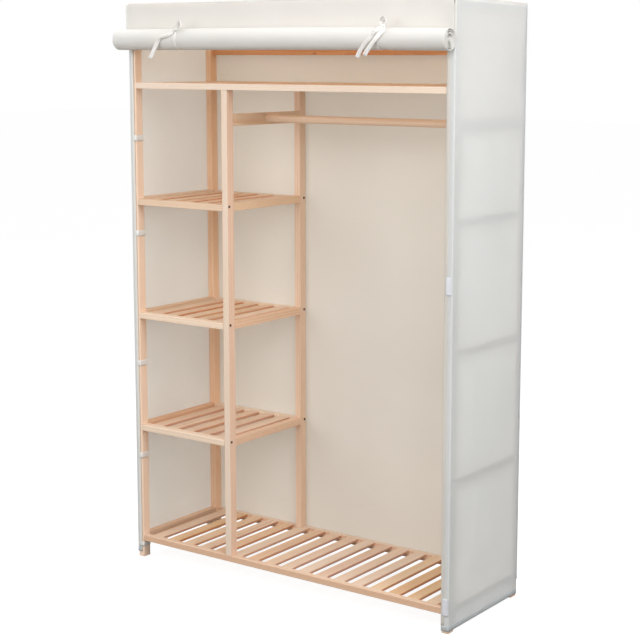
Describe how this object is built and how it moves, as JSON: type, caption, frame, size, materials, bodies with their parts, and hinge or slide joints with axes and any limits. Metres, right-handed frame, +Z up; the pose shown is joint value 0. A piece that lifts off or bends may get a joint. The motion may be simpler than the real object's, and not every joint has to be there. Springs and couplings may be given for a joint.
{
  "type": "portable fabric wardrobe",
  "caption": "Tall open-fronted pine wardrobe frame with slatted decks, small shelves and a hanging pole under a cloth cover, with a roll-up cloth door tied up at the top.",
  "frame": {"origin": "on the floor, under the middle of the whole object's box, rolled door included", "axes": "+Z up, -Y towards the open front with the rolled door, +X to the right of someone facing it"},
  "size_m": [1.138, 0.4382, 1.6659],
  "materials": {
    "pine": "planed softwood, clear satin lacquer",
    "pole_pine": "turned softwood, clear satin lacquer",
    "deck_pine": "sawn and sanded softwood slats, clear satin lacquer",
    "cover_cloth": "off-white nonwoven cloth, matt",
    "door_cloth": "ivory woven cloth, matt",
    "tape": "narrow woven tape, off-white, matt"
  },
  "bodies": {
    "root": {"front_left_post": "pine", "rear_left_post": "pine", "front_right_post": "pine", "rear_right_post": "pine", "middle_front_post": "pine", "middle_rear_post": "pine", "left_base_rung": "pine", "left_lower_rung": "pine", "left_middle_rung": "pine", "left_upper_rung": "pine", "left_top_rung": "pine", "right_base_rung": "pine", "right_lower_rung": "pine", "right_middle_rung": "pine", "right_upper_rung": "pine", "right_top_rung": "pine", "centre_lower_rung": "pine", "centre_middle_rung": "pine", "centre_upper_rung": "pine", "centre_pole_rung": "pine", "right_pole_rung": "pine", "hanging_pole": "pole_pine", "base_front_rail": "pine", "base_rear_rail": "pine", "top_front_rail": "pine", "top_rear_rail": "pine", "rear_stretcher": "pine", "base_slat_01": "deck_pine", "base_slat_02": "deck_pine", "base_slat_03": "deck_pine", "base_slat_04": "deck_pine", "base_slat_05": "deck_pine", "base_slat_06": "deck_pine", "base_slat_07": "deck_pine", "base_slat_08": "deck_pine", "base_slat_09": "deck_pine", "base_slat_10": "deck_pine", "base_slat_11": "deck_pine", "base_slat_12": "deck_pine", "base_slat_13": "deck_pine", "base_slat_14": "deck_pine", "base_slat_15": "deck_pine", "base_slat_16": "deck_pine", "base_slat_17": "deck_pine", "lower_shelf": "deck_pine", "middle_shelf": "deck_pine", "upper_shelf": "deck_pine", "top_shelf": "deck_pine", "right_side_panel": "cover_cloth", "left_side_panel": "cover_cloth", "back_panel": "cover_cloth", "roof_panel": "cover_cloth", "post_strap_1": "tape", "post_strap_2": "tape", "post_strap_3": "tape", "post_strap_4": "tape", "door_sheet": "door_cloth", "left_tie": "tape", "right_tie": "tape"},
    "door": {"door_roll": "door_cloth"}
  },
  "joints": [
    {"name": "door_drop", "type": "slide", "parent": "root", "child": "door", "axis": [0, 0, -1], "range_m": [0, 1.528], "deforming": ["door_sheet", "left_tie", "right_tie"]}
  ]
}
